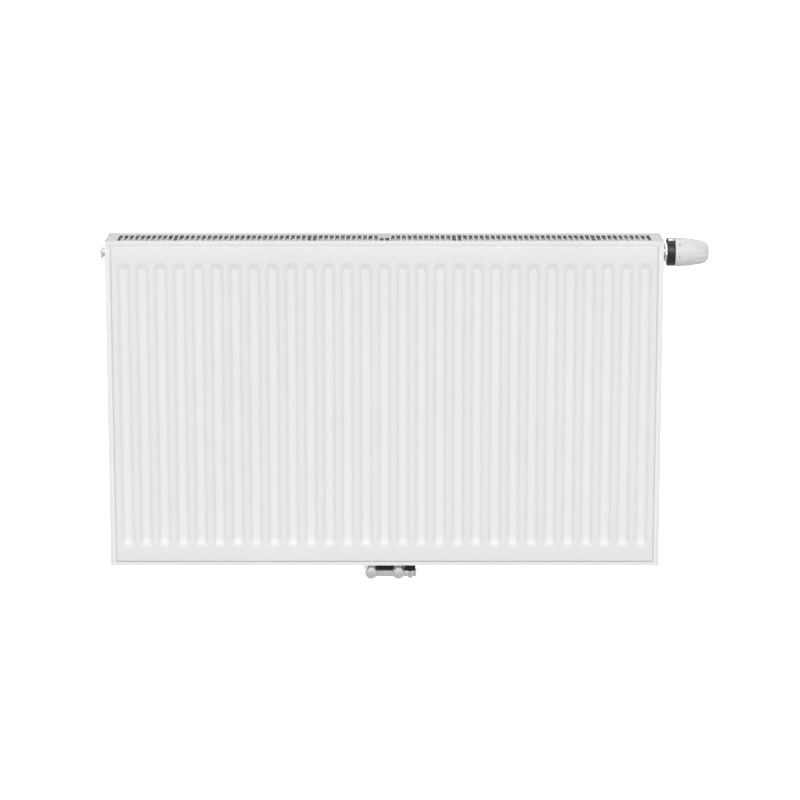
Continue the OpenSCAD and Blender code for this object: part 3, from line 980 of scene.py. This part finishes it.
@dataclass
class ThermostatHead:
    """The white handwheel with its dial and grips, on a black base with a ribbed nut."""

    wheel_gap: float = 0.4 * MM
    grips: int = 12
    grip_depth: float = 1.5 * MM
    grip_from: float = 33 * MM
    grip_to: float = 58 * MM
    grip_skin: float = 0.5 * MM
    line_step: float = 1.6 * MM
    middle_mark: float = 142.0
    mark_step: float = 48.5
    # The tab is partly a pointer and partly a painted reflection: its width and nickel paint the pale sheen
    # on the black ring.
    sheen_tab_at: float = 106.0
    sheen_tab_half: float = 4 * MM
    sheen_tab_inner: float = 23.6 * MM
    sheen_tab_outer: float = 25.1 * MM
    nut_ribs: int = 30
    rib_depth: float = 0.5 * MM
    rib_from: float = 15.8 * MM
    mark_at: float = 5.5 * MM
    mark_size: float = 7.0 * MM
    mark_rise: float = 0.15 * MM
    mark_sink: float = 0.05 * MM
    mark_span: float = 1.2 * MM
    marks: tuple[str, ...] = ("5", "4", "3", "2", "1", "*", "0")

    def __post_init__(self) -> None:
        """Finds the head's axis and the wheel's base."""
        low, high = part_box("handwheel")
        self.base = low.x
        self.centre = (low + high) / 2

    def wheel_line(self) -> list[tuple[float, float]]:
        """The wheel's outline, as (x, radius) points."""
        outer = [(0, 25.2), (0.7, 25.9), (8, 26), (28, 24.5), (48, 21), (55.2, 18), (59.2, 14.2),
                 (60.3, 12.65)]
        inner = [(56.2, 12.55), (55, 13.4), (48, 18.6), (28, 22.1), (0, 23.6)]
        points = [(self.base + x * MM, r * MM) for x, r in outer]
        walls = [(self.base + x * MM, r * MM) for x, r in inner]
        return rounded(points, 9 * MM, 5) + walls

    def radius(self, distance: float) -> float:
        """The wheel's outer radius at a distance from its base."""
        line = self.wheel_line()
        place = self.base + distance
        for (x0, r0), (x1, r1) in zip(line, line[1:]):
            if x0 <= place <= x1 and x1 > x0:
                return r0 + (r1 - r0) * (place - x0) / (x1 - x0)
        return line[0][1]

    def gripped(self, co: Vector) -> Vector:
        """The place of a point of the wheel once the grips are sunk into it."""
        along = co.x - self.base
        if not self.grip_from < along < self.grip_to:
            return co
        offset = Vector((0, co.y - self.centre.y, co.z - self.centre.z))
        if offset.length < self.radius(along) - self.grip_skin:
            return co
        share = (along - self.grip_from) / (self.grip_to - self.grip_from)
        swell = math.sin(math.pi * share ** 1.6) ** 0.7
        wave = max(0.0, math.cos(self.grips * math.atan2(offset.z, offset.y))) ** 0.7
        return co - offset.normalized() * (self.grip_depth * swell * wave)

    def build_wheel(self) -> None:
        """Builds the handwheel and its end cap."""
        line = self.wheel_line()
        dense: list[tuple[float, float]] = []
        for start, end in zip(line, line[1:] + line[:1]):
            count = max(1, int(math.dist(start, end) / self.line_step))
            dense += [tuple(Vector(start).lerp(Vector(end), k / count)) for k in range(count)]
        shape = Shape.turned(dense, self.centre, 192)
        shape.bent(self.gripped)
        shape.piece("handwheel_shell", "handwheel", Slot.WHEEL, ["handwheel"], 50)
        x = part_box("wheel_cap")[0].x
        cap = [(0, 0), (0, 12.5), (2.9, 12.5), (3.4, 12.2), (3.9, 9.4), (3.5, 9.0), (3.5, 8.4), (4.05, 8.0),
               (4.4, 4.5), (4.5, 0)]
        disc = Shape.turned([(x + a * MM, r * MM) for a, r in cap], self.centre, 96, closed=False)
        disc.piece("wheel_cap_disc", "handwheel", Slot.WHEEL, ["wheel_cap"], 30)

    def wrapped(self, text: str, angle: float) -> Shape:
        """A raised mark, bent round the wheel.

        Args:
            text: the mark's character.
            angle: its place round the wheel, in degrees from +y towards +z.

        Returns:
            The mark.
        """
        curve = bpy.data.curves.new("mark", "FONT")
        curve.body = text
        curve.size = self.mark_size
        curve.align_x = "LEFT"
        curve.align_y = "CENTER"
        curve.extrude = self.mark_rise
        curve.resolution_u = 4
        whole = bpy.data.objects.new("mark", curve)
        bpy.context.scene.collection.objects.link(whole)
        graph = bpy.context.evaluated_depsgraph_get()
        shape = Shape()
        shape.bm.from_mesh(whole.evaluated_get(graph).to_mesh())
        bpy.data.objects.remove(whole)
        shape.sealed()
        long_edges = [e for e in shape.bm.edges if e.calc_length() > self.mark_span]
        bmesh.ops.subdivide_edges(shape.bm, edges=long_edges, cuts=2)
        bmesh.ops.triangulate(shape.bm, faces=shape.bm.faces)

        def wrap(co: Vector) -> Vector:
            """The place on the wheel of a point of the flat mark."""
            along = self.mark_at + co.x
            radius = self.radius(along) + co.z - self.mark_sink
            turn = math.radians(angle) - co.y / radius
            side = Vector((0, math.cos(turn), math.sin(turn)))
            return Vector((self.base + along, self.centre.y, self.centre.z)) + side * radius

        return shape.bent(wrap)

    def build_marks(self) -> None:
        """Builds the dial's numerals."""
        marks = Shape()
        for k, text in enumerate(self.marks):
            angle = self.middle_mark + (k - (len(self.marks) - 1) / 2) * self.mark_step
            marks.joined([self.wrapped(text, angle)])
        marks.piece("dial_marks", "handwheel", Slot.BLACK)

    def build_base(self) -> None:
        """Builds the black base ring with its tab (a painted reflection of the ring's sheen), and the
        ribbed union nut.
        """
        x0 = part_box("head_base")[0].x
        x1 = self.base - self.wheel_gap
        outer = [(x0, 17.4), (x0, 24.2), (x0 + 0.8 * MM, 25), (x1 - 0.6 * MM, 25), (x1, 24.4), (x1, 20),
                 (x1 - 5 * MM, 20), (x1 - 5 * MM, 13.5), (x1 + 38 * MM, 13.5), (x1 + 38 * MM, 11.5),
                 (x0 + 2.6 * MM, 11.5), (x0 + 2.6 * MM, 13.0), (x0 + 6.5 * MM, 13.0), (x0 + 6.5 * MM, 17.4)]
        ring = Shape.turned([(x, r * MM) for x, r in outer], self.centre, 128)
        ring.softened(0.25 * MM, 2, 30)
        ring.piece("head_base_ring", "radiator", Slot.BLACK, ["head_base"])
        self.build_sheen_tab(x0, x1)
        self.build_nut()

    def build_sheen_tab(self, x0: float, x1: float) -> None:
        """Builds the metal tab set in the base ring: partly a pointer, and partly a painted reflection,
        made wide and nickel-plated to stand for the pale sheen on the black ring.

        Args:
            x0: the ring's face towards the radiator.
            x1: the ring's face towards the wheel.
        """
        centre = self.centre
        low = (x0 + 2 * MM, centre.y + self.sheen_tab_inner, centre.z - self.sheen_tab_half)
        high = (x1 - 0.8 * MM, centre.y + self.sheen_tab_outer, centre.z + self.sheen_tab_half)
        # Painted reflection: the wide nickel tab stands for the pale sheen on the black ring.
        tab = Shape.block(low, high).softened(0.2 * MM)
        tab.spun(self.sheen_tab_at, "X", centre).piece("base_pointer_painted_sheen", "radiator", Slot.NICKEL)

    def build_nut(self) -> None:
        """Builds the union nut with ribs round it."""
        low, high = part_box("head_union_nut")
        line = [(low.x, 15.1), (low.x, 16.2), (low.x + 0.6 * MM, 16.7), (high.x - 0.6 * MM, 16.7),
                (high.x, 16.2), (high.x, 13.2), (high.x - 1.6 * MM, 13.2), (high.x - 1.6 * MM, 15.1)]
        nut = Shape.turned([(x, r * MM) for x, r in line], self.centre, 180)

        def ribbed(co: Vector) -> Vector:
            """The place of a point once the ribs are cut."""
            offset = Vector((0, co.y - self.centre.y, co.z - self.centre.z))
            if offset.length < self.rib_from:
                return co
            wave = 0.5 - 0.5 * math.cos(self.nut_ribs * math.atan2(offset.z, offset.y))
            return co - offset.normalized() * (self.rib_depth * wave ** 3)

        nut.bent(ribbed).piece("head_union_nut_ribbed", "radiator", Slot.NICKEL, ["head_union_nut"], 50)

    def dress(self) -> None:
        """Gives the working parts inside the head their finishes."""
        dress_nodes([("limiter_pins", Slot.STAINLESS), ("sensor_capsule", Slot.BRASS),
                     ("push_rod", Slot.WHEEL), ("overtravel_spring", Slot.SPRING),
                     ("adjusting_nut", Slot.WHEEL)])

    def build(self) -> None:
        """Builds the whole head."""
        self.build_wheel()
        self.build_marks()
        self.build_base()
        self.dress()


# ---------------------------------------------------------------- fittings


@dataclass
class Fittings:
    """The tees, the valve, the vent and the pipes of the water side."""

    cast_edge: float = 0.8 * MM
    fine_edge: float = 0.25 * MM

    def build(self) -> None:
        """Softens the parts that show, and dresses those inside."""
        cast, fine = self.cast_edge, self.fine_edge
        soften_nodes([
            ("tee_top_left", "radiator", Slot.PANEL, cast),
            ("tee_bottom_left", "radiator", Slot.PANEL, cast),
            ("tee_bottom_right", "radiator", Slot.PANEL, cast),
            ("valve_body", "radiator", Slot.PANEL, cast),
            ("return_manifold", "radiator", Slot.PANEL, cast),
            ("flow_stub", "radiator", Slot.PANEL, cast),
            ("flow_pipe", "radiator", Slot.PANEL, fine),
            ("blind_plugs", "radiator", Slot.NICKEL, fine),
            ("hanging_lugs", "radiator", Slot.PANEL, 2 * fine),
            ("valve_insert", "radiator", Slot.BRASS, fine),
            ("insert_gland", "radiator", Slot.BRASS, fine),
            ("presetting_ring", "presetting_ring", Slot.WHEEL, fine / 2),
            ("grille_clips", "grille", Slot.SPRING, fine / 2),
            ("vent_plug", "radiator", Slot.NICKEL, fine),
            ("vent_nozzle", "vent_nozzle", Slot.WHEEL, fine),
            ("vent_screw", "vent_screw", Slot.BRASS, fine),
        ])
        dress_nodes([
            ("pin_seal", Slot.RUBBER), ("vent_gasket", Slot.RUBBER), ("valve_pin", Slot.STAINLESS),
            ("valve_cone", Slot.RUBBER), ("valve_spring", Slot.SPRING),
        ])


@dataclass
class ConnectionBlock:
    """The two-pipe block under the radiator, with its shut-off plugs and drain."""

    edge: float = 0.7 * MM
    fine_edge: float = 0.25 * MM

    def build(self) -> None:
        """Softens the parts that show, and dresses the seals."""
        soften_nodes([
            ("connector_body", "radiator", Slot.NICKEL, self.edge),
            ("union_nuts", "radiator", Slot.NICKEL, 2 * self.fine_edge),
            ("left_shutoff_plug", "left_shutoff", Slot.BRASS, self.fine_edge),
            ("right_shutoff_plug", "right_shutoff", Slot.BRASS, self.fine_edge),
            ("shutoff_glands", "radiator", Slot.NICKEL, self.fine_edge),
            ("shutoff_caps", "radiator", Slot.NICKEL, self.edge),
            ("drain_knob", "drain_valve", Slot.BLACK, 2 * self.fine_edge),
            ("drain_spindle", "drain_valve", Slot.BRASS, self.fine_edge),
            ("drain_screw", "radiator", Slot.NICKEL, self.fine_edge),
            ("spacing_clip", "radiator", Slot.BLACK, 2 * self.fine_edge),
        ])
        dress_nodes([("union_seals", Slot.RUBBER), ("shutoff_seals", Slot.RUBBER)])


# ---------------------------------------------------------------- studio


@dataclass
class Sun:
    """One distant soft light, the same all over the radiator."""

    name: str
    azimuth: float
    elevation: float
    softness: float
    power: float

    def build(self) -> None:
        """Turns the light so that it shines from its azimuth (0 is the front) and elevation."""
        data = bpy.data.lights.new(self.name, "SUN")
        data.energy = self.power
        data.angle = math.radians(self.softness)
        whole = bpy.data.objects.new(self.name, data)
        turn = (math.radians(90 - self.elevation), 0, math.radians(self.azimuth))
        whole.rotation_euler = turn
        bpy.context.scene.collection.objects.link(whole)


@dataclass
class Studio:
    """Camera, floor and lights. The floor's glow rises along y, from glow_from to glow_to."""

    distance: float = 5.0
    rise: float = 0.84
    aim_right: float = 0.028
    tilt: float = 11.42
    shift: float = 0.08
    frame_width: float = 1.408
    sky: float = 0.06
    floor_drop: float = 0.9
    floor_size: float = 400.0
    glow_from: float = 0.35
    glow_to: float = 1.1
    glow_front: float = 0.06
    glow_back: float = 1.0
    suns: tuple[Sun, ...] = (
        Sun("key_light", 0, 30, 24, 2.44),
        Sun("wall_side_light", 170, 35, 40, 0.2),
        Sun("left_light", -140, 20, 40, 0.36),
        Sun("right_light", 140, 20, 40, 0.36),
        Sun("top_light", 180, 72, 30, 1.0),
    )

    def build(self) -> None:
        """Builds the camera, the floor and the lights."""
        self.build_camera()
        self.build_floor()
        self.build_sky()
        for sun in self.suns:
            sun.build()

    def build_camera(self) -> None:
        """Places the camera in front of the radiator, a little above it."""
        low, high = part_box("front_outer_sheet")
        data = bpy.data.cameras.new("camera")
        data.sensor_width = 36.0
        data.lens = data.sensor_width * self.distance / self.frame_width
        data.shift_y = -self.shift
        data.clip_end = 2 * self.floor_size
        camera = bpy.data.objects.new("camera", data)
        camera.location = (self.aim_right, low.y - self.distance, high.z + self.rise)
        camera.rotation_euler = (math.radians(90 - self.tilt), 0, 0)
        bpy.context.scene.collection.objects.link(camera)
        bpy.context.scene.camera = camera

    def build_floor(self) -> None:
        """Lays the pale floor below the radiator, glowing white behind it."""
        shape = Shape()
        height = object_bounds()[0][2] - self.floor_drop
        bmesh.ops.create_grid(shape.bm, x_segments=1, y_segments=1, size=self.floor_size / 2,
                              matrix=Matrix.Translation((0, 0, height)))
        mesh = bpy.data.meshes.new("floor")
        shape.bm.to_mesh(mesh)
        web = Web("floor_paint")
        tone = web.noise(0.8, 2.0)
        reach = web.add("ShaderNodeSeparateXYZ", {}, {0: web.place}, "Y")
        glow = reach.window(self.glow_from, self.glow_to)
        front, back = (self.glow_front,) * 3, (self.glow_back,) * 3
        mesh.materials.append(web.surface(
            Base_Color=web.blend(tone, (0.50, 0.50, 0.50), (0.47, 0.47, 0.47)), Roughness=0.9,
            Emission_Color=web.blend(glow, front, back), Emission_Strength=1.0))
        floor = bpy.data.objects.new("floor", mesh)
        bpy.context.scene.collection.objects.link(floor)
        floor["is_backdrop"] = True

    def build_sky(self) -> None:
        """Sets the even white light from all round."""
        scene = bpy.context.scene
        scene.view_settings.view_transform = "Standard"
        world = bpy.data.worlds.new("studio")
        world.use_nodes = True
        background = world.node_tree.nodes["Background"]
        background.inputs["Color"].default_value = (1, 1, 1, 1)
        background.inputs["Strength"].default_value = self.sky
        scene.world = world


# ---------------------------------------------------------------- main


def main() -> None:
    """Builds the looks in order."""
    logging.basicConfig(level=logging.INFO, format="%(name)s %(message)s")
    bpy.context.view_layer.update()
    Studio().build()
    PressedSheet("front_outer_sheet", Facing.FRONT).build()
    PressedSheet("rear_outer_sheet", Facing.WALL).build()
    dress_nodes(HIDDEN_SHEETS)
    SideCover("side_cover_left", "vent_plug", 11.0 * MM).build()
    SideCover("side_cover_right", "valve_insert", 17.5 * MM).build()
    TopGrille().build()
    Badge().build()
    ThermostatHead().build()
    Fittings().build()
    ConnectionBlock().build()


if __name__ == "__main__":
    main()
